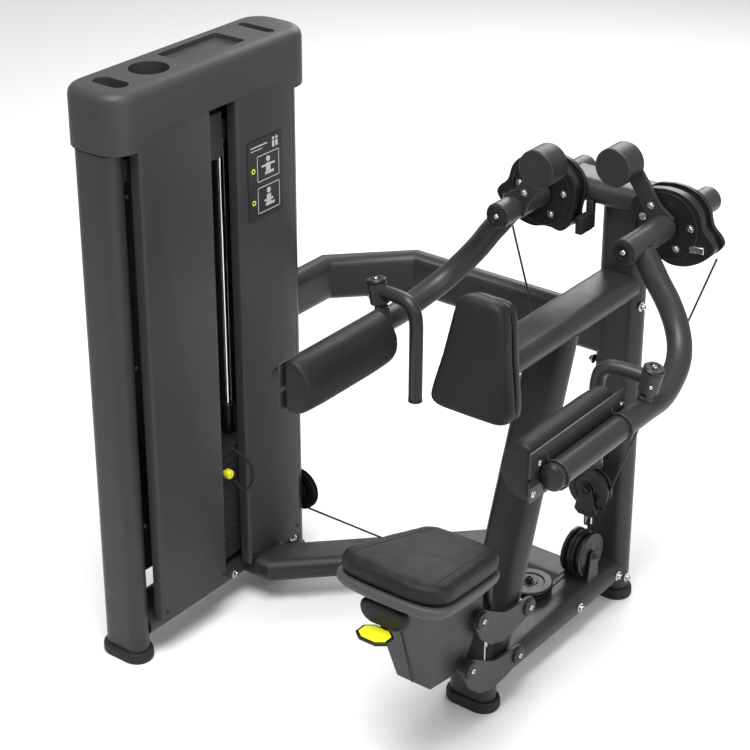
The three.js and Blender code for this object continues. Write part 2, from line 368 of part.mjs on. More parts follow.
// ---------------------------------------------------------------- arms (built on the right, mirrored to the left)
const mir = (q, g) => (q > 0 ? g : g.applyMatrix4(new THREE.Matrix4().makeScale(-1, 1, 1)));
const cDir = V(19, 0, 79).normalize(), cO = V(352, 145, 884);
const cm = new THREE.Matrix4().makeBasis(new THREE.Vector3().crossVectors(Y, cDir), Y, cDir).setPosition(cO);
const onCollar = (r, s0, s1, n) => new THREE.CylinderGeometry(r, r, s1 - s0, n).rotateX(Math.PI / 2).translate(0, 0, (s0 + s1) / 2).applyMatrix4(cm);
const camPts = [[-8, 89], [22, 88], [50, 80], [72, 64], [85, 46], [97, 8], [118, -12], [126, -30], [103, -60], [59, -86], [18, -92], [-9, -85], [-30, -84], [-58, -87], [-85, -59], [-84, -44], [-95, 14], [-92, 36], [-81, 56], [-52, 79]].reverse();
for (const q of [1, -1]) {
  const n = q > 0 ? 'right' : 'left';
  const path = spline([[180, 402, 1092], [201, 402, 1064], [226, 398, 1031], [255, 398, 990], [286, 386, 948], [311, 362, 914], [329, 328, 890], [343, 276, 871], [352, 214, 857], [352, 150, 857], [352, 0, 857], [352, PADTUBE_Y0, 857]]);
  put('arm_' + n, mir(q, geo(union(solid(cylY(HUB_R, PIVOT_X, PIVOT_Z, HUB_Y0, HUB_Y1, 22)), solid(cylY(13, PIVOT_X, PIVOT_Z, HUB_Y1 - 2, 712, 14)), solid(tube(path, ARM_R, 14, 24)), solid(onCollar(11.5, -20, 72.5, 12))))), M.frame());
  const layer = (k, y0, y1) => solid(extr(polygon(camPts.map((p) => [p[0] * k, p[1] * k])), y1 - y0, V(PIVOT_X, y1, PIVOT_Z), X, Z));
  put('cam_' + n, mir(q, geo(minus(union(layer(1, CAM_Y0, 548), layer(0.9, 547, 569), layer(1, 568, CAM_Y1)), solid(cylY(13 + GAP, PIVOT_X, PIVOT_Z, 500, 600, 14))))), M.black());
  const y0 = q > 0 ? CW_Y_RIGHT : CW_Y_LEFT, yp = y0 + CW_LEN;
  const dir = V(-Math.sin(CW_ANG), 0, Math.cos(CW_ANG)), cross = V(Math.cos(CW_ANG), 0, Math.sin(CW_ANG));
  const pl = extr(polygon([[-36, 6], [-23, 46], [-22.5, 174], [22.5, 174], [23, 46], [36, 6]].reverse()), 9, V(PIVOT_X, yp + 8, PIVOT_Z), cross, dir);
  put('counterweight_' + n, mir(q, geo(union(solid(cylY(CW_R, PIVOT_X + CW_RAD * dir.x, PIVOT_Z + CW_RAD * dir.z, y0, yp, 28)), solid(pl)).subtract(solid(cylY(HUB_R + GAP, PIVOT_X, PIVOT_Z, 300, 560, 22))))), M.iron());
  let br = solid(box(323.2, 328.2, -262, 100, 806, 920));
  for (const y of [-205, 43]) {
    const e = [[-28, 48], [-24, 48]];
    for (let i = 0; i <= 8; i++) { const t = (120 - 240 * i / 8) * Math.PI / 180; e.push([35 * Math.cos(t), 35 * Math.sin(t)]); }
    e.push([-24, -48], [-28, -48]);
    br = br.add(solid(extr(polygon(e.reverse()), 5, V(PADTUBE_X, y + 2.5, PADTUBE_Z), X, Z)));
  }
  put('pad_bracket_' + n, mir(q, geo(br.subtract(solid(cylY(ARM_R + 0.8, PADTUBE_X, PADTUBE_Z, -300, 200, 22))))), M.frame());
  const D = [[322.6, 806], [322.6, 924], [308, 934], [288, 931], [268, 915], [252, 890], [245, 865], [250, 838], [264, 815], [284, 800], [306, 797]];
  put('arm_pad_' + n, mir(q, extr(polygon(D.slice().reverse()), 328, V(0, 72, 0), X, Z)), M.leather());
  const grip = spline([[362, 144, 935], [330, 140, 939], [290, 134, 941], [268, 131, 938], [250, 129, 922], [243, 129, 896], [242, 129, 850], [244, 131, 770], [246, 133, 690]]);
  put('handle_' + n, mir(q, geo(union(solid(onCollar(24, 22, 83, 18)), solid(tube(grip, 16.5, 12, 18))).subtract(solid(onCollar(12, 0, 74, 14))))), M.frame());
}

// ---------------------------------------------------------------- pulleys
put('floating_pulley', sheave(PUL_R, PUL_G, 28, 6.5).translate(FP.x, FP.y, FP.z), M.black());
{
  const pts = [[-15, 6], [0, 16], [15, 6], [32, -62], [20, -74], [-20, -74], [-32, -62]].reverse();
  const cheek = (y0, y1) => solid(extr(polygon(pts), y1 - y0, V(FP.x, y1, FP.z), X, Z));
  put('floating_pulley_housing', union(cheek(FP.y - 21, FP.y - 16), cheek(FP.y + 16, FP.y + 21), solid(box(FP.x - 20, FP.x + 20, FP.y - 18, FP.y + 18, FP.z - 74, FP.z - 64)), solid(cylY(6, FP.x, FP.z, FP.y - 25, FP.y + 25, 10)), solid(box(FP.x - 9, FP.x + 9, FP.y - 9, FP.y + 9, 232, FP.z - 66))), M.black());
}
put('lower_double_pulley', union(solid(sheave(PUL_R, PUL_G, 28, 6.5).rotateZ(Math.PI / 2).translate(LP.x, LP.y, LP.z)), solid(sheave(PUL_R, PUL_G, 28, 6.5).rotateZ(Math.PI / 2).translate(LP.x + 27.5, LP.y, LP.z))), M.black());
put('horizontal_pulley', sheave(PUL_R, PUL_G, 20, 7.5).rotateX(Math.PI / 2).translate(HP.x, HP.y, HP.z), M.black());
put('exit_pulley', sheave(PUL_R, PUL_G, 14, 6).translate(EP.x, EP.y, EP.z), M.black());
const CG = CABLE_R + GAP, EG = PUL_G + CG;
const A0 = V(SX, SY, 0), B0 = V(EP.x - EG, EP.y, 0), dAB = B0.clone().sub(A0).normalize(), sAB = V(-dAB.y, dAB.x, 0);
const topA = A0.clone().addScaledVector(dAB, TP_G + CG).setZ(TP_Z), topB = B0.clone().addScaledVector(dAB, -TP_G - CG).setZ(TP_Z);
const topM = (c) => new THREE.Matrix4().makeBasis(dAB, sAB.clone().negate(), Z.clone()).setPosition(c);
for (const [n, c] of [['stack', topA], ['rear', topB]]) {
  put('top_pulley_' + n, sheave(TP_R, TP_G, 16, 6.5, 16).applyMatrix4(new THREE.Matrix4().makeBasis(dAB, sAB, Z).setPosition(c)), M.black());
}
{
  // top beam, inner plate behind the slot, and the cheeks that carry both top pulleys
  const L = topA.distanceTo(topB), dz = TP_Z - BEAM_TOP_Z1;
  const pts = [[-12, 12], [L + 12, 12], [L + 12, -12], [70, -12], [40, -dz - 4], [-20, -dz - 4]].reverse();
  let s = solid(box(TX - 40, TX + 44, TY_F + 30 + GAP, TY_R - 30 - GAP, BEAM_TOP_Z0, BEAM_TOP_Z1));
  s = s.add(solid(box(TX + 40, -733, -60, 34, 1215, 1326)));
  for (const o of [10, -14]) s = s.add(solid(extr(polygon(pts), 4, topA.clone().addScaledVector(sAB, o + 4), dAB, Z)));
  for (const c of [topA, topB]) { const g = new THREE.CylinderGeometry(6, 6, 26, 10); g.applyMatrix4(new THREE.Matrix4().makeBasis(dAB, sAB, Z).setPosition(c)); s = s.add(solid(g)); }
  put('tower_top_beam', s.subtract(solid(cylZ(8, SX, SY, 1200, BEAM_TOP_Z1 + 20, 12))), M.frame());
}

// ---------------------------------------------------------------- cable
{
  const r = CABLE_R, H = Math.PI / 2;
  const arc = (c, u, w, rad, a0, a1, n) => [...Array(n + 1)].map((_, i) => { const a = a0 + (a1 - a0) * i / n; return c.clone().addScaledVector(u, rad * Math.cos(a)).addScaledVector(w, rad * Math.sin(a)); });
  class Poly extends THREE.Curve {
    constructor(p) { super(); this.p = p; }
    getPoint(t, o = new THREE.Vector3()) { const s = t * (this.p.length - 1), i = Math.min(Math.floor(s + 1e-9), this.p.length - 2); return o.copy(this.p[i]).lerp(this.p[i + 1], s - i); }
    getPointAt(t, o) { return this.getPoint(t, o); }
    getTangent(t, o = new THREE.Vector3()) { const n = this.p.length - 1, i = Math.round(t * n), a = this.p[Math.max(0, i - 1)], b = this.p[Math.min(n, i + 1)]; return o.copy(b).sub(a).normalize(); }
    getTangentAt(t, o) { return this.getTangent(t, o); }
  }
  const cable = (name, pts) => put(name, new THREE.ExtrudeGeometry(circle(r, 8), { steps: pts.length - 1, extrudePath: new Poly(pts), bevelEnabled: false }), M.cable());
  const tg = TP_G + CG + 0.6, pg = EG + 0.6, lift = 0.6;
  const run = [...arc(topA, dAB, Z, tg, Math.PI, H, 6), ...arc(topB, dAB, Z, tg, H, 0, 6)];
  run.push(...arc(V(EP.x, EP.y, EP.z), NX, NZ, pg, 0, H, 6));
  run.push(...arc(V(HP.x, HP.y, EP.z - pg), NY, X, pg, 0, H, 6));
  run.push(...arc(V(LP.x, LP.y, LP.z), NZ, Y, pg, 0, H, 6));
  cable('cable_main', run);
  cable('cable_lift', [V(LP.x, LP.y + pg, LP.z + 1), V(LP.x, LP.y + pg, 232 - GAP)]);
  const sd = topA.clone().addScaledVector(dAB, -tg);
  cable('cable_stack_drop', [V(sd.x, sd.y, LIFT_TOP + 52 + GAP), V(sd.x, sd.y, TP_Z - 1)]);
  // one length from the left cam, under the floating pulley, to the right cam
  const side = (q) => {
    const top = V(q * (PIVOT_X + 118), CABLE_Y, PIVOT_Z - 62), dx = (top.x - FP.x) * q, dz = top.z - FP.z;
    const th = Math.atan2(dx, dz) - Math.asin(pg / Math.hypot(dx, dz));
    return { top, th };
  };
  const R = side(1), L = side(-1);
  const loop = arc(V(FP.x, FP.y, FP.z), X, NZ, pg, R.th, Math.PI - L.th, 14);
  cable('cable_arms', [R.top, ...loop, L.top]);
}

export default group;
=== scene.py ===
import json
import math
import bpy
import bmesh
import numpy as np
from mathutils import Matrix, Vector
from mathutils.bvhtree import BVHTree


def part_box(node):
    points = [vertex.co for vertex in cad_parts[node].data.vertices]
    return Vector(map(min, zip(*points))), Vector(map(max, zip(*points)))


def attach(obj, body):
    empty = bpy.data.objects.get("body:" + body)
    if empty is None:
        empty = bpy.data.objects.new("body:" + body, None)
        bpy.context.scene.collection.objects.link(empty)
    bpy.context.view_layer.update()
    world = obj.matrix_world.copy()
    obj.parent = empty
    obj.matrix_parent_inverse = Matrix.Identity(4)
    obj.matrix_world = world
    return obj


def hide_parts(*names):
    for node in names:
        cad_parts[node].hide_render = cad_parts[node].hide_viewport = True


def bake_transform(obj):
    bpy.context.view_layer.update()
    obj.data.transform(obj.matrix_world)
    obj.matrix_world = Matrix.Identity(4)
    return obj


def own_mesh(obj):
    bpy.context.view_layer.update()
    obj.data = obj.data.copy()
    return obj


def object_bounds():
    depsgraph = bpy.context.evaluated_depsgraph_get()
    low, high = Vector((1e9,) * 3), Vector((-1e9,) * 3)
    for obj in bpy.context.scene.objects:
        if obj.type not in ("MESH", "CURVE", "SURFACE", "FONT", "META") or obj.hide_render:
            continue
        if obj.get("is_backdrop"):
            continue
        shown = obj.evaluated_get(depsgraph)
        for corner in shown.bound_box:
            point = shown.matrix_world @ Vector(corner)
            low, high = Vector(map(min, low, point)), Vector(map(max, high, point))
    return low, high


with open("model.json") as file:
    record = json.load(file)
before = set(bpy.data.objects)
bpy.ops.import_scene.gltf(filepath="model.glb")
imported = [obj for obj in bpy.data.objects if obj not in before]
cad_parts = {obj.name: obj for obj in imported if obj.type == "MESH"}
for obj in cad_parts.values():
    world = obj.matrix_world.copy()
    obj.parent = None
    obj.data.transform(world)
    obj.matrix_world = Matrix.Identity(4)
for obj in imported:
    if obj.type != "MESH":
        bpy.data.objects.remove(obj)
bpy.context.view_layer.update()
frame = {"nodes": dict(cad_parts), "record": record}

OX, OY = 241.8, -177.5          # the same shift as the CAD model's origin, in mm
NODES = frame["nodes"]
BODY = {n: b for b, ns in frame["record"]["behaviour"]["bodies"].items() for n in ns}


def W(x, y, z):
    return Vector(((x + OX) / 1000, (y + OY) / 1000, z / 1000))


# ------------------------------------------------------------------ camera
cam_data = bpy.data.cameras.new("camera")
cam = bpy.data.objects.new("camera", cam_data)
bpy.context.scene.collection.objects.link(cam)
az, el, f_px = math.radians(37.317), math.radians(25.318), 2025.5
cam.location = (2.4535, -3.4237, 2.9251)
fw = Vector((-math.sin(az) * math.cos(el), math.cos(az) * math.cos(el), -math.sin(el)))
cam.rotation_mode = "QUATERNION"
cam.rotation_quaternion = fw.to_track_quat("-Z", "Y")
cam_data.sensor_width = 36
cam_data.lens = f_px * 36 / 750
cam_data.shift_y = -0.1
cam_data.clip_start, cam_data.clip_end = 0.05, 100
bpy.context.scene.camera = cam


# ------------------------------------------------------------------ materials
def material(name, base, rough, metal=0.0, var=0.12, var_scale=7.0, bump=0.15, bump_scale=900.0, bump_dist=0.0002,
             rough_var=0.08, kind="noise", coat=0.0, sheen=0.0, wear=0.0, spec=0.32):
    m = bpy.data.materials.new(name)
    m.use_nodes = True
    nt = m.node_tree
    b = nt.nodes["Principled BSDF"]
    N = nt.nodes.new
    tc = N("ShaderNodeTexCoord")
    n1 = N("ShaderNodeTexNoise"); n1.inputs["Scale"].default_value = var_scale; n1.inputs["Detail"].default_value = 5
    nt.links.new(tc.outputs["Object"], n1.inputs["Vector"])
    ramp = N("ShaderNodeValToRGB")
    lo = [max(0, c * (1 - var)) for c in base]; hi = [min(1, c * (1 + var)) for c in base]
    ramp.color_ramp.elements[0].color = (*lo, 1); ramp.color_ramp.elements[1].color = (*hi, 1)
    ramp.color_ramp.elements[0].position = 0.3; ramp.color_ramp.elements[1].position = 0.7
    nt.links.new(n1.outputs["Fac"], ramp.inputs["Fac"])
    colour = ramp.outputs["Color"]
    if kind == "leather":
        t = N("ShaderNodeTexVoronoi"); t.feature = "SMOOTH_F1"; t.inputs["Scale"].default_value = bump_scale
        fine = N("ShaderNodeTexNoise"); fine.inputs["Scale"].default_value = bump_scale * 0.25; fine.inputs["Detail"].default_value = 4
        nt.links.new(tc.outputs["Object"], fine.inputs["Vector"])
        mix = N("ShaderNodeMath"); mix.operation = "MULTIPLY_ADD"; mix.inputs[1].default_value = 0.5
        nt.links.new(fine.outputs["Fac"], mix.inputs[0]); nt.links.new(t.outputs["Distance"], mix.inputs[2])
        height = mix.outputs[0]
    else:
        t = N("ShaderNodeTexNoise"); t.inputs["Scale"].default_value = bump_scale; t.inputs["Detail"].default_value = 3
        height = t.outputs["Fac"]
    nt.links.new(tc.outputs["Object"], t.inputs["Vector"])
    # fine speckle in the colour as well as in the relief
    sp = N("ShaderNodeMix"); sp.data_type = "RGBA"; sp.blend_type = "MULTIPLY"; sp.inputs["Factor"].default_value = 0.35
    r2 = N("ShaderNodeValToRGB"); r2.color_ramp.elements[0].color = (0.72, 0.72, 0.72, 1); r2.color_ramp.elements[1].color = (1, 1, 1, 1)
    r2.color_ramp.elements[0].position = 0.35; r2.color_ramp.elements[1].position = 0.6
    nt.links.new(height, r2.inputs["Fac"]); nt.links.new(colour, sp.inputs["A"]); nt.links.new(r2.outputs["Color"], sp.inputs["B"])
    colour = sp.outputs["Result"]
    if wear:
        g = N("ShaderNodeNewGeometry"); wr = N("ShaderNodeValToRGB")
        wr.color_ramp.elements[0].position = 0.54; wr.color_ramp.elements[1].position = 0.62
        nt.links.new(g.outputs["Pointiness"], wr.inputs["Fac"])
        wm = N("ShaderNodeMath"); wm.operation = "MULTIPLY"; wm.inputs[1].default_value = wear
        nt.links.new(wr.outputs["Color"], wm.inputs[0])
        mx = N("ShaderNodeMix"); mx.data_type = "RGBA"; mx.inputs["B"].default_value = (0.07, 0.07, 0.074, 1)
        nt.links.new(wm.outputs[0], mx.inputs["Factor"]); nt.links.new(colour, mx.inputs["A"])
        colour = mx.outputs["Result"]
    nt.links.new(colour, b.inputs["Base Color"])
    mr = N("ShaderNodeMapRange"); mr.inputs["To Min"].default_value = max(0.02, rough - rough_var); mr.inputs["To Max"].default_value = min(1, rough + rough_var)
    n3 = N("ShaderNodeTexNoise"); n3.inputs["Scale"].default_value = var_scale * 4
    nt.links.new(tc.outputs["Object"], n3.inputs["Vector"])
    nt.links.new(n3.outputs["Fac"], mr.inputs["Value"]); nt.links.new(mr.outputs["Result"], b.inputs["Roughness"])
    bp = N("ShaderNodeBump"); bp.inputs["Strength"].default_value = bump; bp.inputs["Distance"].default_value = bump_dist
    nt.links.new(height, bp.inputs["Height"]); nt.links.new(bp.outputs["Normal"], b.inputs["Normal"])
    b.inputs["Metallic"].default_value = metal
    b.inputs["Coat Weight"].default_value = coat
    b.inputs["Sheen Weight"].default_value = sheen
    b.inputs["Specular IOR Level"].default_value = spec if metal < 0.9 else 0.5
    return m


MAT = {
    "frame_paint": material("powder_coat", (0.024, 0.0245, 0.026), 0.4, metal=0.15, bump=0.25, bump_scale=700, wear=0.35),
    "cover_sheet": material("cover_paint", (0.023, 0.0235, 0.025), 0.46, bump=0.3, bump_scale=800, var=0.08, wear=0.3),
    "cap_plastic": material("moulded_grey", (0.028, 0.0285, 0.030), 0.5, bump=0.4, bump_scale=1100, var=0.06),
    "black_plastic": material("black_plastic", (0.008, 0.008, 0.0085), 0.36, bump=0.2, bump_scale=1200),
    "rubber": material("rubber", (0.012, 0.012, 0.012), 0.68, bump=0.5, bump_scale=600, var=0.25),
    "chrome": material("chrome", (0.72, 0.73, 0.75), 0.1, metal=1.0, var=0.03, bump=0.04, bump_scale=300, rough_var=0.04),
    "steel": material("bolt_steel", (0.55, 0.56, 0.58), 0.24, metal=1.0, var=0.1, bump=0.15, bump_scale=500),
    "iron": material("coated_iron", (0.016, 0.016, 0.017), 0.44, metal=0.2, bump=0.5, bump_scale=450, var=0.2, wear=0.4),
    "leatherette": material("leatherette", (0.0085, 0.0085, 0.009), 0.52, kind="leather", bump=0.55, bump_scale=620, bump_dist=0.0004, var=0.1, spec=0.24),
    "yellow_plastic": material("yellow_plastic", (0.72, 0.72, 0.02), 0.3, bump=0.1, bump_scale=800, var=0.05, coat=0.3),
    "cable_jacket": material("cable_jacket", (0.012, 0.012, 0.013), 0.3, bump=0.3, bump_scale=900),
    # tray plastic: its own moulded grey, lifted lighter than the cap plastic as painted light for the brightness of its
    # sideways-facing lip
    "tray_grey": material("tray_grey", (0.05, 0.051, 0.053), 0.5, bump=0.4, bump_scale=1100, var=0.06),
    "thread": material("thread", (0.012, 0.012, 0.013), 0.7, bump=0.4, bump_scale=3000),
    "print_grey": material("print_grey", (0.42, 0.42, 0.43), 0.5, bump=0.05, bump_scale=900, var=0.05),
}


# ------------------------------------------------------------------ mesh helpers (mm in, metres out)
def make(name, verts, faces, mat, body, angle=32, slot=None, bevel=0.0, bevel_seg=2):
    me = bpy.data.meshes.new(name)
    me.from_pydata([W(*v) for v in verts], [], faces)
    bm = bmesh.new(); bm.from_mesh(me)
    bmesh.ops.remove_doubles(bm, verts=bm.verts, dist=1e-6)
    bmesh.ops.recalc_face_normals(bm, faces=bm.faces)
    bm.to_mesh(me); bm.free()
    me.validate()
    me.polygons.foreach_set("use_smooth", [True] * len(me.polygons))
    me.set_sharp_from_angle(angle=math.radians(angle))
    o = bpy.data.objects.new(name, me)
    bpy.context.scene.collection.objects.link(o)
    me.materials.append(MAT[mat])
    if bevel:
        md = o.modifiers.new("edge", "BEVEL"); md.width = bevel / 1000; md.segments = bevel_seg; md.limit_method = "ANGLE"; md.angle_limit = math.radians(angle); md.harden_normals = False
    if body:
        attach(o, body)
    return o


def loft(sections, closed_ends=True):
    n = len(sections[0]); verts = [p for s in sections for p in s]; faces = []
    for i in range(len(sections) - 1):
        for j in range(n):
            a, b = i * n + j, i * n + (j + 1) % n
            faces.append((a, b, b + n, a + n))
    if closed_ends:
        faces.append(tuple(range(n))[::-1]); faces.append(tuple(range((len(sections) - 1) * n, len(sections) * n)))
    return verts, faces


def oval2(w, t, n=14):
    r = min(w, t) / 2; e = max(w, t) / 2 - r; pts = []
    for s in (1, -1):
        for i in range(n + 1):
            a = -math.pi / 2 + math.pi * i / n + (math.pi if s < 0 else 0)
            x, y = math.cos(a) * r + s * e, math.sin(a) * r
            pts.append((x, y) if w >= t else (-y, x))
    return pts


def circle2(r, n=36):
    return [(r * math.cos(2 * math.pi * i / n), r * math.sin(2 * math.pi * i / n)) for i in range(n)]


def sweep_level(name, pts, z, w, h, body="root", mat="frame_paint", bevel=1.2):
    """flat-oval tube along a level polyline with mitred corners; w across, h upright"""
    P = [Vector((p[0], p[1], z)) for p in pts]; secs = []
    for i, p in enumerate(P):
        d0 = (P[max(1, i)] - P[max(1, i) - 1]).normalized(); d1 = (P[min(len(P) - 1, i + 1)] - P[min(len(P) - 1, i + 1) - 1]).normalized()
        m = (d0 + d1).normalized(); side = Vector((0, 0, 1)).cross(m) / m.dot(d0)
        secs.append([tuple(p + side * x + Vector((0, 0, 1)) * y) for x, y in oval2(w, h)])
    return make(name, *loft(secs), mat, body, bevel=bevel)


def straight(name, a, b, up, w, t, body="root", mat="frame_paint", bevel=1.2, shape=None):
    """extrusion from a to b; the section's width runs along up x dir"""
    a, b, up = Vector(a), Vector(b), Vector(up); d = (b - a).normalized(); side = up.cross(d).normalized(); u = d.cross(side)
    pts = shape or oval2(w, t)
    return make(name, *loft([[tuple(c + side * x + u * y) for x, y in pts] for c in (a, b)]), mat, body, bevel=bevel)


def catmull(pts, per=8):
    P = [Vector(p) for p in pts]; P = [2 * P[0] - P[1]] + P + [2 * P[-1] - P[-2]]; out = []
    for i in range(1, len(P) - 2):
        p0, p1, p2, p3 = P[i - 1:i + 3]
        t = [0]
        for a, b in ((p0, p1), (p1, p2), (p2, p3)):
            t.append(t[-1] + max((b - a).length, 1e-6) ** 0.5)
        for k in range(per):
            u = t[1] + (t[2] - t[1]) * k / per
            A1 = p0 * ((t[1] - u) / (t[1] - t[0])) + p1 * ((u - t[0]) / (t[1] - t[0]))
            A2 = p1 * ((t[2] - u) / (t[2] - t[1])) + p2 * ((u - t[1]) / (t[2] - t[1]))
            A3 = p2 * ((t[3] - u) / (t[3] - t[2])) + p3 * ((u - t[2]) / (t[3] - t[2]))
            B1 = A1 * ((t[2] - u) / (t[2] - t[0])) + A2 * ((u - t[0]) / (t[2] - t[0]))
            B2 = A2 * ((t[3] - u) / (t[3] - t[1])) + A3 * ((u - t[1]) / (t[3] - t[1]))
            out.append(B1 * ((t[2] - u) / (t[2] - t[1])) + B2 * ((u - t[1]) / (t[2] - t[1])))
    out.append(P[-2])
    return out


def tube_mesh(path, r, n=32):
    P = [Vector(p) for p in path]; secs = []; ref = None
    for i, p in enumerate(P):
        d = (P[min(i + 1, len(P) - 1)] - P[max(i - 1, 0)]).normalized()
        if ref is None:
            ref = d.orthogonal().normalized()
        ref = (ref - d * ref.dot(d)).normalized(); s2 = d.cross(ref)
        secs.append([tuple(p + ref * x + s2 * y) for x, y in circle2(r, n)])
    return loft(secs)


def lathe(name, prof, centre, axis, mat, body, n=48, angle=30, bevel=0.0, slot=None):
    """prof: (radius, along) pairs from the axis or closed; turned about axis through centre"""
    ax = Vector(axis).normalized(); s = ax.orthogonal().normalized(); t = ax.cross(s); c = Vector(centre); verts = []; faces = []
    for r, h in prof:
        for j in range(n):
            a = 2 * math.pi * j / n
            verts.append(tuple(c + ax * h + (s * math.cos(a) + t * math.sin(a)) * r))
    m = len(prof)
    closed = prof[0] == prof[-1]
    for i in range(m - 1):
        for j in range(n):
            faces.append((i * n + j, i * n + (j + 1) % n, (i + 1) * n + (j + 1) % n, (i + 1) * n + j))
    return make(name, verts, faces, mat, body, angle=angle, bevel=bevel, slot=slot)


def join(name, objs, body):
    bpy.ops.object.select_all(action="DESELECT")
    for o in objs:
        for md in list(o.modifiers):
            bpy.context.view_layer.objects.active = o
            bpy.ops.object.modifier_apply(modifier=md.name)
    for o in objs:
        o.select_set(True)
    bpy.context.view_layer.objects.active = objs[0]
    bpy.ops.object.join()
    o = objs[0]; o.name = name
    return o


def carry(node, mat, bevel=1.0, angle=30, seg=2):
    """the CAD node's own shape with finer edges, shown in its place"""
    src = NODES[node]; me = src.data.copy(); me.name = node + "_shell"
    bm = bmesh.new(); bm.from_mesh(me)
    bmesh.ops.remove_doubles(bm, verts=bm.verts, dist=5e-5)
    bmesh.ops.dissolve_limit(bm, angle_limit=math.radians(0.6), verts=bm.verts, edges=bm.edges)
    bmesh.ops.recalc_face_normals(bm, faces=bm.faces)
    bm.to_mesh(me); bm.free()
    if "custom_normal" in me.attributes:
        me.attributes.remove(me.attributes["custom_normal"])
    me.polygons.foreach_set("use_smooth", [True] * len(me.polygons)); me.set_sharp_from_angle(angle=math.radians(angle))
    me.materials.clear(); me.materials.append(MAT[mat])
    o = bpy.data.objects.new(node + "_shell", me); bpy.context.scene.collection.objects.link(o)
    if bevel:
        md = o.modifiers.new("edge", "BEVEL"); md.width = bevel / 1000; md.segments = seg; md.limit_method = "ANGLE"; md.angle_limit = math.radians(angle); md.use_clamp_overlap = True
    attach(o, BODY[node]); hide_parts(node)
    return o


# ------------------------------------------------------------------ frame
FO = (120, 60)
TX, TY_F, TY_R = -788, -312, 282


def rep(o, *nodes):
    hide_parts(*nodes); return o


rep(straight("tower_post_front", (TX, TY_F, 28), (TX, TY_F, 1325), (0, 1, 0), 120, 60), "tower_upright_front")
rep(straight("tower_post_rear", (TX, TY_R, 28), (TX, TY_R, 1325), (0, 1, 0), 120, 60), "tower_upright_rear")
rep(straight("tower_floor_beam", (TX, -290, 83), (TX, 262, 83), (0, 0, 1), 120, 60), "tower_base_beam")
rep(sweep_level("low_link", [(-760, 119), (-677, 119), (-285, 511), (-40, 511)], 83, 120, 60), "base_link_tube")
rep(sweep_level("mid_link", [(TX, 300), (TX, 477), (-620, 645), (-40, 645)], 731, 60, 120), "mid_link_tube")
rep(straight("seat_leg", (0, 40, 28), (0, 40, 112), (0, 1, 0), 120, 60), "front_leg")
rep(straight("back_post", (0, 643, 28), (0, 643, 1085), (0, 1, 0), 120, 60), "rear_post")
floor_beam = straight("seat_floor_beam", (0, 20, 83), (0, 620, 83), (0, 0, 1), 120, 60)
upper = straight("pad_beam", (0, 72, 882), (0, 620, 882), (0, 0, 1), 120, 60)
rep(upper, "upper_beam")
rep(straight("slant_post", (0, 136 + 0.346 * (100 - 275), 100), (0, 136 + 0.346 * (868 - 275), 868), (0, 1, 0), 120, 60), "inclined_post")
cross = straight("head_beam", (-150, 643, 1107), (150, 643, 1107), (0, 0, 1), 120, 60)
bits = [cross]
for q in (1, -1):
    bits.append(lathe(f"house{q}", [(0, 0), (29, 0), (32, 3), (32, 144), (29, 147), (0, 147)], (q * 169, 583, 1106.5), (0, 1, 0), "frame_paint", "root"))
    x = 71.5 * q
    bits.append(straight(f"stop{q}", (x, 594, 1018), (x, 594, 1090), (0, 1, 0), 0, 0, shape=[(-9, -8), (9, -8), (9, 8), (-9, 8)]))
rep(join("head_beam", bits, "root"), "head_cross_beam")
for q in (1, -1):
    straight(f"stop_block_{'r' if q > 0 else 'l'}", (71.5 * q, 540, 1038), (71.5 * q, 592, 1038), (0, 0, 1), 0, 0, mat="rubber", shape=[(-9.5, -22), (9.5, -22), (9.5, 22), (-9.5, 22)], bevel=3)

for n in ("tower_foot_front", "tower_foot_rear", "seat_foot_front", "seat_foot_rear"):
    lo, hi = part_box(n); cx, cy = (lo.x + hi.x) * 500 - OX, (lo.y + hi.y) * 500 - OY
    secs = [[(cx + x * k, cy + y * k2, z) for x, y in oval2(140, 80)] for z, k, k2 in ((0, .96, .93), (3, .985, .975), (6, 1, 1), (20, 1, 1), (25, .98, .965), (28, .935, .89))]
    rep(make(n + "_boot", *loft(secs), "rubber", "root"), n)

carry("tower_top_beam", "frame_paint")
for n in ("shroud_panel_front", "shroud_panel_rear", "shroud_panel_back"):
    carry(n, "cover_sheet", bevel=0.8)
carry("tower_cap", "cap_plastic", bevel=3.0, angle=40, seg=4)
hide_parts("base_beam")

# brackets on the floor beam
def plate_x(name, pts, x0, x1, mat="frame_paint", body="root", bevel=1.0, slot=None):
    return make(name, *loft([[(x, y, z) for y, z in pts] for x in (x0, x1)]), mat, body, bevel=bevel, slot=slot)

for i, (a, b) in enumerate(((-33, -28), (34, 39))):
    plate_x(f"pulley_bracket_{i}", [(482, 108), (534, 108), (524, 186), (516, 194), (508, 196), (500, 194), (492, 186)], a, b)
straight("pulley_bracket_low", (-82, 370, 111), (-20, 370, 111), (0, 0, 1), 0, 0, shape=[(-20, -6), (20, -6), (20, 6), (-20, 6)])
plate_x("strut_lug", [(14, 100), (44, 100), (44, 118), (36, 125), (20, 125), (14, 118)], 39, 51)


# ------------------------------------------------------------------ bolts
BOLTS = {}


def bolt(p, d, r=7.0, h=6.0, body="root", washer=True, mat="steel"):
    BOLTS.setdefault((body, mat), []).append((Vector(p), Vector(d).normalized(), r, h, washer))


def build_bolts():
    for (body, mat), items in BOLTS.items():
        objs = []
        for i, (p, d, r, h, washer) in enumerate(items):
            if washer:
                objs.append(lathe(f"w{i}", [(0, -0.5), (r * 1.5, -0.5), (r * 1.5, 1.2), (r * 1.35, 1.8), (0, 1.8)], p, d, mat, body, n=28))
            objs.append(lathe(f"h{i}", [(0, 1), (r, 1), (r, h * 0.55), (r * 0.82, h * 0.9), (r * 0.5, h), (r * 0.48, h), (r * 0.46, h * 0.45), (0, h * 0.45)], p, d, mat, body, n=24))
        join("bolts_" + body + ("" if mat == "steel" else "_dark"), objs, body)


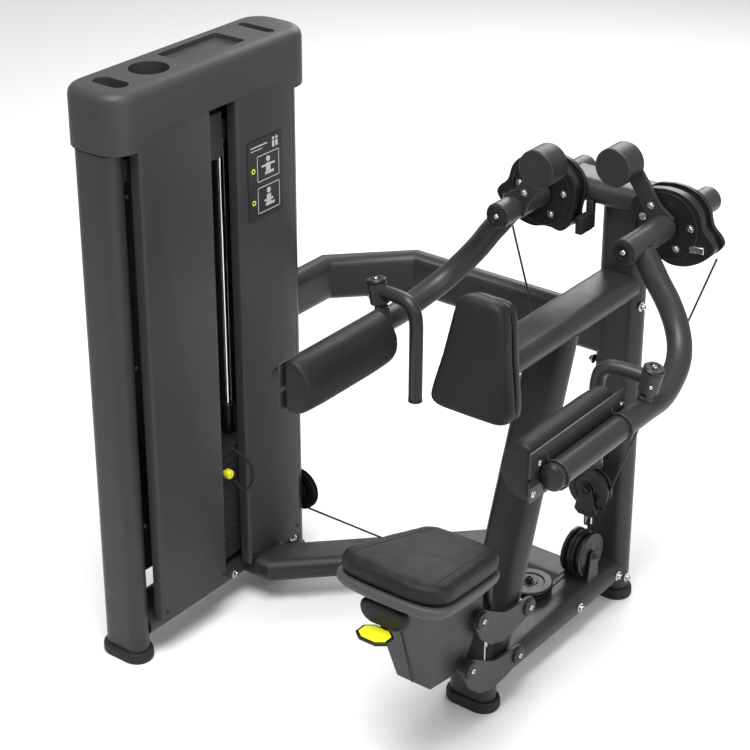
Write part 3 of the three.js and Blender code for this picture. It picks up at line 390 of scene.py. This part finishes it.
for y, z in ((21, 80), (253, 74)):
    bolt((-728, y, z), (1, 0, 0), 8, 9)
for y in (596, 416):
    bolt((60, y, 86), (1, 0, 0), 8, 9)
bolt((60, 630, 832), (1, 0, 0), 8, 12); bolt((-60, 625, 657), (-1, 0, 0), 8, 12); bolt((60, 640, 60), (1, 0, 0), 8, 9)
for z in (1215, 790, 365):
    bolt((-740, -281, z), (1, -0.4, 0), 5, 4, washer=False, mat="black_plastic")
for y in (-262, -54, 62, 238):
    bolt((-698, y, 128), (1, 0, 0), 4, 3, washer=False, mat="black_plastic")

# ------------------------------------------------------------------ tower inside
for n, y in (("guide_rod_front", -83), ("guide_rod_rear", 83)):
    rep(lathe(n + "_bar", [(0, 0), (10, 0), (10, 1136), (0, 1136)], (TX, y, 113.5), (0, 0, 1), "chrome", "root"), n)


def slab(name, z0, z1, body, w=106, l=250):
    pts = [(x, y) for x, y in ((-w / 2 + 4, -l / 2), (w / 2 - 4, -l / 2), (w / 2, -l / 2 + 4), (w / 2, l / 2 - 4), (w / 2 - 4, l / 2), (-w / 2 + 4, l / 2), (-w / 2, l / 2 - 4), (-w / 2, -l / 2 + 4))]
    return make(name, *loft([[(TX + x, y, z) for x, y in pts] for z in (z0, z1)]), "iron", body, bevel=1.6)


objs = [slab(f"p{i}", z, min(z + 23.2, 373.8), "root") for i, z in enumerate([134 + 24 * k for k in range(10)])]
objs.append(slab("pb", 113.5, 133, "root", 70, 230))
rep(join("resting_plates", objs, "root"), "weight_stack_rest")
objs = [slab(f"q{i}", z, z + 23.4, "weight") for i, z in enumerate((374.4, 399, 425.5))]
for y in (-83, 83):
    objs.append(lathe(f"s{y}", [(10.5, 0), (17, 0), (17, 80), (15, 82), (10.5, 82), (10.5, 0)], (TX, y, 449), (0, 0, 1), "black_plastic", "weight"))
objs.append(lathe("st", [(0, 0), (16, 0), (16, 12), (9, 15), (9, 50), (7, 52), (0, 52)], (TX, 0, 449), (0, 0, 1), "steel", "weight"))
rep(join("lifted_plates", objs, "weight"), "weight_carriage")
# tick marks on the stack's front, at every plate
objs = [make(f"t{i}", *loft([[(x, y, z) for y, z in ((-30, 145 + 24 * i), (-18 if i % 2 else -10, 145 + 24 * i), (-18 if i % 2 else -10, 147.5 + 24 * i), (-30, 147.5 + 24 * i))] for x in (-735.2, -734.7)]), "print_grey", "root", bevel=0) for i in range(9)]
join("stack_ticks", objs, "root")
rep(lathe("pin_knob", [(0, -68), (4.5, -68), (4.5, 18), (10, 18), (12, 20), (12.5, 24), (12.2, 32), (10.5, 35), (6, 36), (0, 36)], (-746, 0, 386), (1, 0, 0), "yellow_plastic", "pin", n=40), "selector_pin")
# coiled lanyard: a helix of thin cord round the route
route = catmull([(-731, -24, 456), (-715, -10, 468), (-690, 12, 446), (-674, 34, 408), (-668, 30, 372), (-670, 8, 352), (-680, -2, 360), (-697, 0, 377)], 40)
hel = []; ref = Vector((0, 0, 1)); run = 0.0
for i, p in enumerate(route):
    d = (route[min(i + 1, len(route) - 1)] - route[max(i - 1, 0)]).normalized(); ref = (ref - d * ref.dot(d)).normalized()
    run += (p - route[i - 1]).length if i else 0
    a = run / 3.1 * 2 * math.pi
    hel.append((p, ref.copy(), d.cross(ref), run))
pts = []
tot = hel[-1][3]; turns = tot / 3.4
for k in range(int(turns * 10)):
    s = tot * k / (turns * 10); i = min(range(len(hel)), key=lambda j: abs(hel[j][3] - s)); p, r1, r2, _ = hel[i]
    j = min(i + 1, len(hel) - 1); e = hel[j][3] - hel[i][3]; base = p.lerp(hel[j][0], max(0, min(1, (s - hel[i][3]) / e))) if e > 1e-6 else p
    a = 2 * math.pi * k / 10; pts.append(tuple(base + (r1 * math.cos(a) + r2 * math.sin(a)) * 3.3))
lan = rep(make("coiled_lanyard", *tube_mesh(pts, 1.2, 6), "rubber", None, angle=80), "pin_lanyard")
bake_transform(lan)

# placard: plate, heading bar, two pictograms and two rings, with no lettering
plc = [straight("pl", (-697.7, 141, 1140), (-696.2, 141, 1140), (0, 0, 1), 0, 0, mat="black_plastic", shape=[(-62, -100), (62, -100), (62, 100), (-62, 100)], bevel=0.5)]
def mark(y0, y1, z0, z1, mat="print_grey"):
    plc.append(make("mk", *loft([[(x, y, z) for y, z in ((y0, z0), (y1, z0), (y1, z1), (y0, z1))] for x in (-696.4, -695.9)]), mat, "root", bevel=0))
mark(90, 150, 1222, 1225); mark(90, 132, 1214, 1216)
for zc in (1165, 1085):
    mark(112, 192, zc - 33, zc - 31); mark(112, 192, zc + 31, zc + 33); mark(112, 114, zc - 33, zc + 33); mark(190, 192, zc - 33, zc + 33)
    plc.append(lathe("hd", [(0, 0), (7, 0), (7, .6), (0, .6)], (-696.4, 152, zc + 18), (1, 0, 0), "print_grey", "root", n=20))
    up = zc > 1100
    mark(144, 160, zc - 12, zc + 8); mark(140, 172, zc - 20, zc - 13); mark(128 if up else 136, 145, zc + 1 if up else zc - 8, zc + 6 if up else zc - 3); mark(159, 176 if up else 168, zc + 1 if up else zc - 8, zc + 6 if up else zc - 3)
for yy in (172, 184):
    plc.append(lathe("hd2", [(0, 0), (4, 0), (4, .6), (0, .6)], (-696.4, yy, 1228), (1, 0, 0), "print_grey", "root", n=16)); mark(yy - 4, yy + 4, 1207, 1222)
join("placard_plate", plc, "root")
rings = [lathe("rg", [(4, 0), (6.5, 0), (6.5, .8), (4, .8), (4, 0)], (-696.4, 98, zz), (1, 0, 0), "yellow_plastic", "root", n=24) for zz in (1165, 1085)]
join("placard_rings", rings, "root")


# ------------------------------------------------------------------ pulleys and cable
def pulley(name, node, c, ax, R, G, w, body, hub=9, grooves=(0,)):
    h = w / 2
    side = [(hub, -h + 1), (R * .32, -h + 1), (R * .36, -h + 3), (R * .62, -h + 3), (R * .66, -h), (R - 3, -h), (R, -h + 2)]
    mid = []
    for g in grooves:
        mid += [(R, g - 5.5), (G, g - 2), (G, g + 2), (R, g + 5.5)]
    prof = side + mid + [(r, -z) for r, z in side[::-1]] + [side[0]]
    o = lathe(name, prof, c, ax, "black_plastic", body, n=64, bevel=0.5)
    b = lathe("b", [(0, -h - 1), (hub + 1, -h - 1), (hub + 1, h + 1), (0, h + 1)], c, ax, "steel", body, n=28)
    return rep(join(name, [o, b], body), node)


pulley("wheel_floating", "floating_pulley", (-12, 558, 341), (0, 1, 0), 58, 47, 28, "float_wheel")
o = lathe("wheel_lower", [(8, -14), (30, -14), (34, -12), (48, -12), (52, -14), (56, -14), (58, -12), (58, -5.5), (47, -2), (47, 2), (58, 5.5), (58, 12), (55, 13.7), (58, 15.5), (58, 22), (47, 25.5), (47, 29.5), (58, 33), (58, 39.5), (56, 41.5), (52, 41.5), (48, 39.5), (34, 39.5), (30, 41.5), (8, 41.5), (8, -14)], (-12, 508, 181), (1, 0, 0), "black_plastic", "wheel_lower", n=64)
rep(o, "lower_double_pulley")
bolt((39, 508, 181), (1, 0, 0), 8, 7, mat="black_plastic")
pulley("wheel_horizontal", "horizontal_pulley", (-62, 370, 131), (0, 0, 1), 58, 47, 20, "wheel_horizontal")
bolt((-62, 370, 141), (0, 0, 1), 9, 11, mat="black_plastic")
pulley("wheel_exit", "exit_pulley", (-757, 320, 181), (0, 1, 0), 58, 47, 14, "wheel_exit")
carry("top_pulley_stack", "black_plastic", bevel=0.5); carry("top_pulley_rear", "black_plastic", bevel=0.5)
carry("floating_pulley_housing", "black_plastic", bevel=1.0)
lathe("clevis", [(0, 0), (8, 0), (10.5, 3), (10.5, 22), (8, 26), (0, 26)], (-12, 558, 234), (0, 0, 1), "steel", "float_block", n=28)
bolt((-12, 533, 341), (0, -1, 0), 7, 6, body="float_block", mat="black_plastic")

lift = rep(make("lift_cable", *tube_mesh([(-12, 558.6, 182 + 49.7 * i / 24) for i in range(25)], 2.7, 16), "cable_jacket", None, angle=60), "cable_lift")
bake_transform(lift)
for n in ("cable_main", "cable_stack_drop", "cable_arms"):
    o = carry(n, "cable_jacket", bevel=0, angle=60)
    if n == "cable_arms":
        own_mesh(o)
    if n == "cable_stack_drop":
        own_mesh(o)


# ------------------------------------------------------------------ arms
S = lambda q, p: (q * p[0], p[1], p[2])
cdir = Vector((19, 0, 79)).normalized()
camp = [(-8, 89), (22, 88), (50, 80), (72, 64), (85, 46), (97, 8), (118, -12), (126, -30), (103, -60), (59, -86), (18, -92), (-9, -85), (-30, -84), (-58, -87), (-85, -59), (-84, -44), (-95, 14), (-92, 36), (-81, 56), (-52, 79)]


def cam_outline(k):
    pts = [Vector((x, y, 0)) for x, y in camp]; pts = pts + [pts[0]]
    return [(p.x * k, p.y * k) for p in catmull(pts, 4)[:-1]]


for q in (1, -1):
    s = "r" if q > 0 else "l"; full = "right" if q > 0 else "left"; body = "arm_" + s
    path = catmull([(180, 402, 1092), (201, 402, 1064), (226, 398, 1031), (255, 398, 990), (286, 386, 948), (311, 362, 914), (329, 328, 890), (343, 276, 871), (352, 214, 857), (352, 150, 857), (352, 0, 857), (352, -218, 857)], 8)
    a = make("at", *tube_mesh([S(q, p) for p in path], 28.5, 40), "frame_paint", body)
    hub = lathe("hb", [(0, 0), (28, 0), (30.5, 2), (30.5, 178), (28, 180), (0, 180)], (q * 169, 340, 1106.5), (0, 1, 0), "frame_paint", body)
    sh = lathe("sh", [(0, 0), (13, 0), (13, 190), (0, 190)], (q * 169, 518, 1106.5), (0, 1, 0), "steel", body)
    d = Vector(S(q, cdir)); c0 = Vector(S(q, (352, 145, 884)))
    stub = lathe("sb", [(0, -20), (18, -20), (18, 8), (16, 10), (16, 20), (0, 20)], c0, d, "frame_paint", body)
    o = join("swing_arm_" + full, [a, hub, sh, stub], body); rep(o, "arm_" + full)
    lathe("hub_cap_" + s, [(0, 0), (27, 0), (26.5, -4), (23, -6), (16, -6), (15, -4), (9, -4), (8, -2), (0, -2)], (q * 169, 340, 1106.5), (0, 1, 0), "black_plastic", body)
    bolt((q * 169, 338, 1106.5), (0, -1, 0), 7, 6, body=body, washer=False)
    lathe("tube_cap_" + s, [(0, 0), (29.3, 0), (29.3, -5), (26, -8.5), (20, -10), (0, -10)], (q * 352, -218, 857), (0, 1, 0), "black_plastic", body)
    # cam: two cheeks and the groove between
    objs = []
    for k, y0, y1 in ((1, 526, 546), (0.9, 545, 570), (1, 569, 580)):
        objs.append(make("cm", *loft([[(q * (169 + x), y, 1106.5 + z) for x, z in cam_outline(k)] for y in (y0, y1)]), "black_plastic", body, bevel=1.5))
    rep(join("cam_plate_" + full, objs, body), "cam_" + full)
    for ang, rr in ((82, 62), (-82, 62), (150, 57), (-150, 57)):
        t = math.radians(ang); bolt((q * (169 + rr * math.sin(t)), 526, 1106.5 + rr * math.cos(t)), (0, -1, 0), 6, 5, body=body)
    lathe("cam_ring_" + s, [(77, 0), (82, 0), (82, 2), (80.5, 3), (78.5, 3), (77, 2), (77, 0)], (q * 169, 526.3, 1106.5), (0, -1, 0), "black_plastic", body, n=72)
    straight("cable_clamp_" + s, (q * 236, 522, 1069), (q * 272, 522, 1072), (0, 0, 1), 0, 0, body=body, mat="steel", shape=[(-4, -8), (4, -8), (4, 8), (-4, 8)], bevel=1.5)
    # counterweight and its saddle plate
    y0 = 448 if q > 0 else 335; ang = math.radians(36.3); dx, dz = -math.sin(ang), math.cos(ang); cxx, czz = math.cos(ang), math.sin(ang)
    cyl = lathe("cw", [(0, 0), (43.5, 0), (46, 2.5), (46, 62.5), (43.5, 65), (0, 65)], (q * (169 + 174 * dx), y0, 1106.5 + 174 * dz), (0, 1, 0), "iron", body, n=64)
    prof = [(-36, 6), (-30, 26), (-24, 42), (-22.5, 60), (-22.5, 174), (22.5, 174), (22.5, 60), (24, 42), (30, 26), (36, 6)]
    pl = make("pl", *loft([[(q * (169 + a_ * cxx + b_ * dx), y, 1106.5 + a_ * czz + b_ * dz) for a_, b_ in prof] for y in (y0 + 64, y0 + 73)]), "frame_paint", body, bevel=1.5)
    rep(join("balance_weight_" + full, [cyl, pl], body), "counterweight_" + full)
    bolt((q * (169 + 57.5 * dx), y0 + 64, 1106.5 + 57.5 * dz), (0, -1, 0), 6, 5, body=body)
    carry("pad_bracket_" + full, "frame_paint", bevel=0.8)
    for y, z in ((-227, 886), (-250, 824), (89, 885), (89, 824)):
        bolt((q * 328, y, z), (q, 0, 0), 5, 4, body=body)
    # handle
    gp = catmull([(366, 145, 934), (330, 140, 939), (290, 134, 941), (268, 131, 938), (250, 129, 922), (243, 129, 896), (242, 129, 850), (244, 131, 770), (246, 133, 692)], 10)
    g = make("gr", *tube_mesh([S(q, p) for p in gp], 16.5, 32), "frame_paint", "grip_" + s)
    col = lathe("co", [(0, 22), (22.5, 22), (24, 24), (24, 72), (22, 73), (0, 73)], c0, d, "frame_paint", "grip_" + s)
    rep(join("swivel_handle_" + full, [g, col], "grip_" + s), "handle_" + full)
    lathe("handle_cap_" + s, [(0, 73), (23.5, 73), (24, 75), (24, 79), (20, 83), (13, 83), (12, 81), (0, 81)], c0, d, "black_plastic", "grip_" + s)
    bolt(c0 + d * 81, d, 6, 5, body="grip_" + s, washer=False)
    lathe("grip_end_" + s, [(0, 0), (17, 0), (17, 8), (16.5, 9), (0, 9)], S(q, (246.1, 133.1, 688)), (0, 0, 1), "rubber", "grip_" + s)
    bolt(Vector(c0) + d * 42 + Vector((q * 14, -20, 0)), (q * 0.6, -0.8, 0), 4, 3, body="grip_" + s, washer=False)


# ------------------------------------------------------------------ seat hardware
for node in ("seat_link_upper", "seat_link_lower"):
    carry(node, "frame_paint", bevel=1.2)
carry("seat_carriage", "cap_plastic", bevel=5, angle=25, seg=4)
for q in (1, -1):
    for (y, z), body in (((-91, 196), "link_lower"), ((105, 129), "link_lower"), ((-51, 309), "link_upper"), ((145, 242), "link_upper")):
        lathe(f"disc_{body}_{'r' if q > 0 else 'l'}_{'f' if y < 0 else 'b'}", [(0, 0), (22, 0), (22, 3), (20, 6), (12, 7), (11, 5), (0, 5)], (q * 80, y, z), (q, 0, 0), "black_plastic", body, n=40)
        bolt((q * 85, y, z), (q, 0, 0), 7, 6, body=body, washer=False)
rep(lathe("strut_body", [(0, 0), (11.5, 0), (12.5, 2), (12.5, 150), (9, 152), (0, 152)], (45, 21, 232), (0, 0, 1), "black_plastic", "strut_cylinder"), "gas_strut_cylinder")
rep(lathe("strut_shaft", [(0, 0), (6.5, 0), (6.5, 12), (4, 14), (4, 172), (0, 172)], (45, 21, 127), (0, 0, 1), "chrome", "strut_rod"), "gas_strut_rod")
octa = [(-22, -30), (22, -30), (42.5, -14), (42.5, 14), (22, 30), (-22, 30), (-42.5, 14), (-42.5, -14)]
rim = make("lv", *loft([[(x * k, -345 + y * k, z) for x, y in octa] for z, k in ((393, .96), (395, 1), (399, 1), (401, .97))]), "black_plastic", "lever", bevel=0.8)
stem = straight("sm", (0, -330, 397), (0, -242, 397), (0, 0, 1), 0, 0, body="lever", mat="black_plastic", shape=[(-9, -3), (9, -3), (9, 3), (-9, 3)])
rep(join("lever_body", [rim, stem], "lever"), "seat_lever")
make("lever_face", *loft([[(x * k, -345 + y * k, z) for x, y in octa] for z, k in ((400.8, .84), (401.8, .84), (402.4, .8))]), "yellow_plastic", "lever")
# split line and side crease on the carriage cover
plate_x("cover_split", [(-259.5, 372), (-246.6, 338), (-208, 194), (-206, 194), (-244.5, 338), (-257, 372)], -0.8, 0.8, mat="rubber", body="seat", bevel=0)


# ------------------------------------------------------------------ soft goods
def puff(o, size, cap, pressure=4.0, keep=None):
    """fills a closed form: remesh, inflate as cloth, limit the swell, smooth"""
    me = o.data
    src = bpy.data.objects.new(o.name + "_s", me.copy()); bpy.context.scene.collection.objects.link(src)
    bpy.context.view_layer.objects.active = src
    md = src.modifiers.new("r", "REMESH"); md.mode = "VOXEL"; md.voxel_size = size
    bpy.ops.object.modifier_apply(modifier=md.name)
    rest = np.array([v.co for v in src.data.vertices])
    cl = src.modifiers.new("c", "CLOTH"); st = cl.settings
    st.use_pressure = True; st.uniform_pressure_force = pressure; st.effector_weights.gravity = 0
    st.tension_stiffness = 25; st.compression_stiffness = 25; st.bending_stiffness = 8; st.quality = 4
    cl.point_cache.frame_start = 1; cl.point_cache.frame_end = 20
    for fr in range(1, 21):
        bpy.context.scene.frame_set(fr)
    dg = bpy.context.evaluated_depsgraph_get(); ev = src.evaluated_get(dg).data
    now = np.array([v.co for v in ev.vertices])
    src.modifiers.remove(cl); bpy.context.scene.frame_set(1)
    mv = now - rest; L = np.linalg.norm(mv, axis=1, keepdims=True); mv *= np.minimum(1, cap / np.maximum(L, 1e-9))
    if keep is not None:
        mv *= keep(rest)[:, None]
    src.data.vertices.foreach_set("co", (rest + mv).astype(np.float32).ravel())
    bm = bmesh.new(); bm.from_mesh(src.data)
    for _ in range(4):
        bmesh.ops.smooth_vert(bm, verts=bm.verts, factor=0.5, use_axis_x=True, use_axis_y=True, use_axis_z=True)
    bm.to_mesh(src.data); bm.free()
    mats = list(me.materials); o.data = src.data; o.data.materials.clear()
    for m_ in mats:
        o.data.materials.append(m_)
    o.data.polygons.foreach_set("use_smooth", [True] * len(o.data.polygons))
    bpy.data.objects.remove(src)
    sd = o.modifiers.new("sub", "SUBSURF"); sd.levels = 1; sd.render_levels = 1
    bpy.context.view_layer.objects.active = o
    bpy.ops.object.modifier_apply(modifier=sd.name)
    return o


def smooth_outline(half, k=1.0, yc=0.0):
    pts = half + [(-x, y) for x, y in half[1:-1][::-1]]
    P = [Vector((x, y, 0)) for x, y in pts]; P = P + [P[0]]
    return [(p.x * k, (p.y - yc) * k + yc) for p in catmull(P, 5)[:-1]]


def pad(name, outline, frame3, layers, mat, body, node):
    """layers: (depth below the top in mm, outline scale); frame3: origin, u, v, down"""
    o3, u, v, dn = frame3; yc = sum(p[1] for p in outline) / len(outline); secs = []
    for dep, k in layers:
        secs.append([tuple(o3 + u * (x * k) + v * ((y - yc) * k + yc) + dn * dep) for x, y in outline])
    ob = make(name, *loft(secs), mat, body, angle=60)
    return ob


def bvh(o):
    me = o.data; mw = o.matrix_world
    return BVHTree.FromPolygons([mw @ v.co for v in me.vertices], [tuple(p.vertices) for p in me.polygons])


def stitch(name, o, lines, frame3, body, groove=True, pitch=5.0):
    """a welt line laid on the surface along each path, with stitches beside it"""
    t = bvh(o); o3, u, v, dn = frame3; objs = []
    for li, line in enumerate(lines):
        P = [Vector((a, b, 0)) for a, b in line]; pts = []
        for a, b in zip(P[:-1], P[1:]):
            n = max(1, int((b - a).length / 2.5))
            pts += [a.lerp(b, i / n) for i in range(n)]
        pts.append(P[-1]); hit = []
        for p in pts:
            src = o3 + u * p.x + v * p.y - dn * 60; w = W(*src); dd = Vector(dn)
            loc, nor, _, _ = t.ray_cast(w, dd, 0.2)
            if loc is not None:
                hit.append((loc, nor))
        if len(hit) < 3:
            continue
        to_mm = lambda q_: (q_.x * 1000 - OX, q_.y * 1000 - OY, q_.z * 1000)
        objs.append(make("gl", *tube_mesh([to_mm(h_[0] - h_[1] * 0.0002) for h_ in hit], 0.7, 6), "thread", body, angle=80))
        for i in range(2, len(hit) - 2, 2):
            side = (hit[i + 1][0] - hit[i - 1][0]).cross(hit[i][1]).normalized() * 0.003
            a_, b_ = hit[i][0] + side + hit[i][1] * 0.0002, hit[i][0].lerp(hit[i + 1][0], 0.9) + side + hit[i][1] * 0.0002
            objs.append(make("st", *tube_mesh([to_mm(a_), to_mm(b_)], 0.45, 5), "thread", body, angle=80))
    if objs:
        return join(name, objs, body)


# seat cushion
ST = math.atan(63 / 295)
sf = (Vector((0, -300, 541)), Vector((1, 0, 0)), Vector((0, math.cos(ST), -math.sin(ST))), Vector((0, -math.sin(ST), -math.cos(ST))))
half = [(0, -24), (60, -22), (108, -14), (134, 4), (146, 36), (144, 76), (114, 272), (104, 298), (84, 314), (40, 322), (0, 323)]
so = smooth_outline(half)
seat = pad("seat_pad", so, sf, [(45, .945), (42, .965), (30, .975), (14, .975), (7, .962), (3.5, .938), (1.8, .90), (1.0, .8), (0.6, .5)], "leatherette", "seat", "seat_cushion")
puff(seat, 0.005, 0.003)
rep(seat, "seat_cushion")
# the tray's material carries painted light: a lighter copy of the cap plastic standing in for its lit, sideways-facing
# lip
tray = pad("seat_shell", so, sf, [(47, .95), (47.5, .985), (49, 1.0), (58, 1.005), (66, .99), (72, .96), (76, .90)], "tray_grey", "seat", "seat_tray")
rep(tray, "seat_tray")
stitch("seat_seams", seat, [[(-112, 0), (-73, 296)], [(112, 0), (73, 296)], [(-118, 6), (-90, -4), (-40, -10), (0, -11), (40, -10), (90, -4), (118, 6)]], sf, "seat")

# front lobe
lf = (Vector((2, -326, 433)), Vector((1, 0, 0)), Vector((0, 0, 1)), Vector((0, 1, 0)))
lobe_o = smooth_outline([(0, -28), (40, -27), (60, -14), (66, 4), (62, 20), (46, 28), (0, 29)])
lobe = pad("seat_lobe_pad", lobe_o, lf, [(24, .93), (20, .98), (10, .98), (4, .93), (1.5, .8), (1, .4)], "leatherette", "seat", "seat_front_lobe")
puff(lobe, 0.004, 0.003)
rep(lobe, "seat_front_lobe")
straight("lobe_bracket", (0, -306, 434), (0, -262, 434), (0, 0, 1), 0, 0, body="seat", mat="cap_plastic", shape=[(-30, -9), (30, -9), (30, 9), (-30, 9)], bevel=2)

# chest pad
PT = math.atan(41 / 276)
cf = (Vector((0, 2.5, 927)), Vector((1, 0, 0)), Vector((0, math.sin(PT), math.cos(PT))), Vector((0, math.cos(PT), -math.sin(PT))))
chalf = [(0, 140), (38, 139), (56, 130), (65, 110), (85, 0), (105, -112), (102, -130), (86, -139), (40, -142), (0, -142)]
co = smooth_outline(chalf)
chest = pad("chest_cushion", co, cf, [(45.5, .955), (42, .985), (30, .99), (12, .985), (6, .968), (3, .94), (1.6, .90), (1.0, .8), (0.6, .5)], "leatherette", "root", "chest_pad")
puff(chest, 0.005, 0.003)
rep(chest, "chest_pad")
board = pad("chest_board", co, cf, [(46.5, .93), (50, .945), (64, .945), (68, .93)], "black_plastic", "root", "chest_pad_board")
rep(board, "chest_pad_board")
stitch("chest_seams", chest, [[(-46, 124), (-78, -126)], [(46, 124), (78, -126)]], cf, "root")

# arm pads: D section, crowned towards the user
for q in (1, -1):
    full = "right" if q > 0 else "left"; body = "arm_" + full[0]
    D = [(322.6, 808), (322.6, 865), (322.6, 922), (312, 931), (298, 933), (280, 926), (262, 907), (250, 885), (246, 865), (250, 840), (262, 819), (280, 804), (300, 798), (314, 801)]
    P = catmull([Vector((x, z, 0)) for x, z in D + [D[0]]], 4)[:-1]
    cx0, cz0 = 300, 865
    secs = [[(q * (cx0 + (min(p.x, 322.6) - cx0) * k), y, cz0 + (p.y - cz0) * k) for p in P] for y, k in ((72, .86), (70, .94), (64, .985), (40, 1), (-90, 1), (-220, 1), (-244, .985), (-252, .95), (-256, .88))]
    ap = make("arm_cushion_" + full, *loft(secs), "leatherette", body, angle=60)
    puff(ap, 0.005, 0.003)
    rep(ap, "arm_pad_" + full)

build_bolts()

# ------------------------------------------------------------------ stage, light
fl = bpy.data.meshes.new("floor"); fl.from_pydata([(-30, -30, 0), (30, -30, 0), (30, 30, 0), (-30, 30, 0)], [], [(0, 1, 2, 3)])
floor = bpy.data.objects.new("floor", fl); bpy.context.scene.collection.objects.link(floor); floor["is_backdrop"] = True
fm = bpy.data.materials.new("floor"); fm.use_nodes = True
fm.node_tree.nodes["Principled BSDF"].inputs["Base Color"].default_value = (0.83, 0.83, 0.83, 1)
fm.node_tree.nodes["Principled BSDF"].inputs["Roughness"].default_value = 0.8
fm.node_tree.nodes["Principled BSDF"].inputs["Specular IOR Level"].default_value = 0.1
fl.materials.append(fm)
world = bpy.data.worlds.new("studio"); bpy.context.scene.world = world; world.use_nodes = True
world.node_tree.nodes["Background"].inputs["Color"].default_value = (1, 1, 1, 1)
world.node_tree.nodes["Background"].inputs["Strength"].default_value = 0.62


def area(name, loc, target, size, power):
    l = bpy.data.lights.new(name, "AREA"); l.size = size; l.energy = power
    o = bpy.data.objects.new(name, l); bpy.context.scene.collection.objects.link(o); o.location = loc
    o.rotation_mode = "QUATERNION"; o.rotation_quaternion = (Vector(target) - Vector(loc)).to_track_quat("-Z", "Y")


area("key", (0.5, -1.2, 4.6), (0, 0, 0.5), 2.4, 260)
area("fill", (4.0, -1.0, 2.2), (0, 0, 0.7), 2.4, 62)
area("back", (-1.5, 4.0, 3.2), (0, 0, 0.8), 2.4, 110)
bpy.context.scene.view_settings.view_transform = "Standard"

lo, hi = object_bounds()
